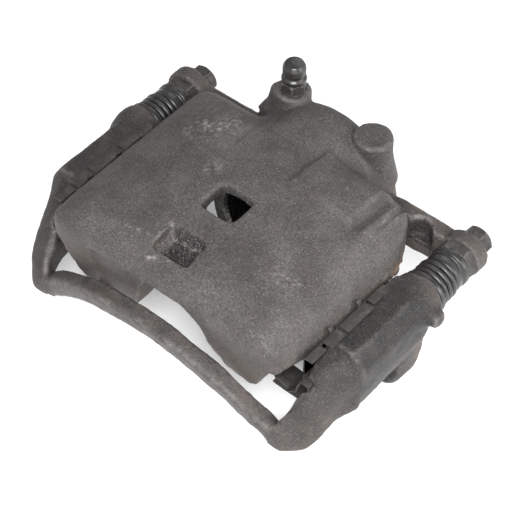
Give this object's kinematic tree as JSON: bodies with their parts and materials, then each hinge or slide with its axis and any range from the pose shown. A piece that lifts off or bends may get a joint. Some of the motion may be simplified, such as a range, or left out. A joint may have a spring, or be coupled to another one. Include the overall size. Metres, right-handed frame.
{
  "type": "brake caliper",
  "caption": "Floating single-piston disc brake caliper on its anchor bracket, with guide pins, rubber boots, bleeder screw and pad retainers, shown without pads.",
  "frame": {"origin": "midway between the two knuckle bolt holes, on the bracket's mounting face", "axes": "+X along the line through the two bolt holes and across the guide pins, +Y inboard out of the mounting face, +Z away from the wheel hub, over the disc"},
  "size_m": [0.1755, 0.1356, 0.094],
  "materials": {
    "bracket_casting": "as cast, dark, lightly rusted at the edges",
    "housing_casting": "as cast, dark grey, matt",
    "piston_chrome": "hard chromed, worn",
    "rubber_black": "satin, dusty",
    "seal_rubber": "satin",
    "bolt_steel": "dulled zinc plating",
    "stainless_sheet": "bare stainless sheet"
  },
  "bodies": {
    "bracket": {"anchor_bracket": "bracket_casting", "pad_retainer_left": "stainless_sheet", "pad_retainer_right": "stainless_sheet", "guide_boot_left": "rubber_black", "guide_boot_right": "rubber_black"},
    "caliper": {"caliper_housing": "housing_casting", "guide_pin_left": "bolt_steel", "guide_pin_right": "bolt_steel", "guide_bolt_left": "bolt_steel", "guide_bolt_right": "bolt_steel", "pin_bushing": "seal_rubber", "piston_seal": "seal_rubber", "piston_boot": "rubber_black", "boot_retaining_ring": "bolt_steel"},
    "piston_body": {"piston": "piston_chrome"},
    "bleeder": {"bleeder_screw": "bolt_steel"},
    "cap": {"bleeder_cap": "rubber_black"}
  },
  "joints": [
    {"name": "caliper_float", "type": "slide", "parent": "bracket", "child": "caliper", "axis": [0, 1, 0], "range_m": [-0.0015, 0.009], "deforming": ["guide_boot_left", "guide_boot_right"]},
    {"name": "piston_stroke", "type": "slide", "parent": "caliper", "child": "piston_body", "axis": [0, -1, 0], "range_m": [0, 0.022], "deforming": ["piston_boot"]},
    {"name": "bleeder_turn", "type": "hinge", "parent": "caliper", "child": "bleeder", "pos_m": [-0.022, 0.036, 0.06], "axis": [0, 0, 1], "range_deg": [0, 360]},
    {"name": "cap_pull", "type": "slide", "parent": "bleeder", "child": "cap", "axis": [0, 0, 1], "range_m": [0, 0.015]}
  ]
}
